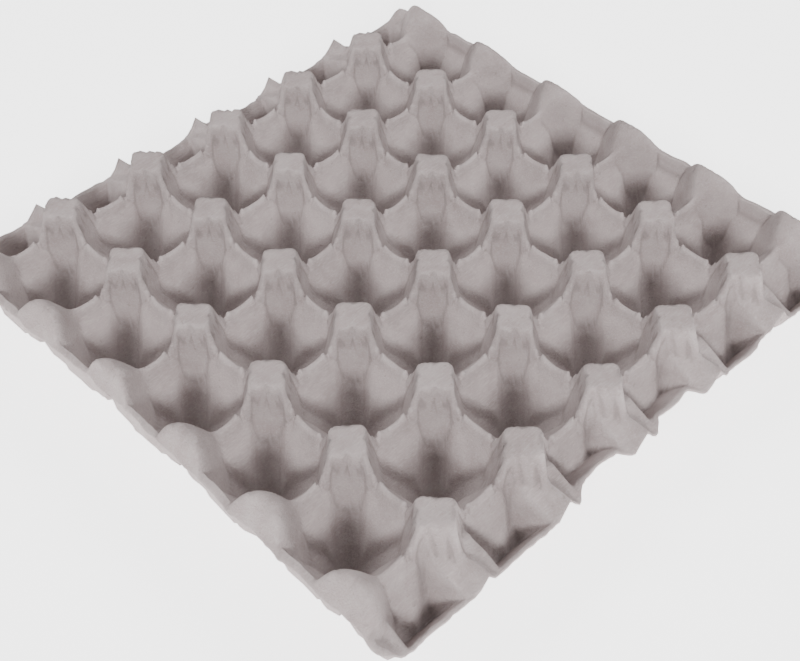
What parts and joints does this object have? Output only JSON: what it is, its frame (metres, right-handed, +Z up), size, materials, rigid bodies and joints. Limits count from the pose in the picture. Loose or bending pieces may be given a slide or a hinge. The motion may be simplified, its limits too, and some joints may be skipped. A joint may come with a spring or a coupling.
{
  "type": "pulp egg tray",
  "caption": "Square egg tray in moulded grey paper pulp: a grid of round tapering cells between hollow square posts, with half cells along two edges and half posts along the other two.",
  "frame": {"origin": "middle of the tray, on the plane its cell floors rest on", "axes": "+Z up through the open side; +X along the longer run of full cells, towards a rim with half posts; +Y towards a rim with half cells"},
  "size_m": [0.292, 0.292, 0.05],
  "materials": {
    "pulp": "matte, rough fibre"
  },
  "bodies": {
    "root": {"row_1": "pulp", "row_2": "pulp", "row_3": "pulp", "row_4": "pulp", "row_5": "pulp", "end_row_front": "pulp", "end_row_back": "pulp"}
  },
  "joints": []
}
